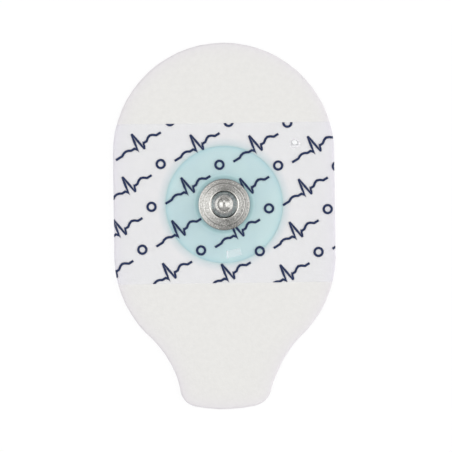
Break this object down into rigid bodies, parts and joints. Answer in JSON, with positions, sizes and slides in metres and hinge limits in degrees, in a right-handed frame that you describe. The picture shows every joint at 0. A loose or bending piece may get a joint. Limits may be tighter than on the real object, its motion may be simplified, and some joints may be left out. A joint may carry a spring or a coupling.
{
  "type": "ecg electrode",
  "caption": "Adhesive foam electrode pad with pull tab, clear film strip, gel disc and metal snap stud for a monitoring lead.",
  "frame": {"origin": "on the snap stud's axis, in the plane of the pad's skin side", "axes": "+Z along the stud's axis, away from the skin; +Y towards the pad's round end, with the pull tab at -Y; +X across the pad"},
  "size_m": [0.0344, 0.0569, 0.0044],
  "materials": {
    "foam": "closed-cell polyethylene foam, white, matt, with an adhesive coat underneath",
    "film": null,
    "gel": "translucent pale blue hydrogel, wet",
    "stud": "pressed stainless sheet, tumbled bright",
    "sensor": "moulded plastic coated with silver and silver chloride, dull grey"
  },
  "bodies": {
    "root": {"foam_backing": "foam", "film_strip": "film", "hydrogel": "gel", "sensor_eyelet": "sensor", "snap_stud": "stud"}
  },
  "joints": []
}
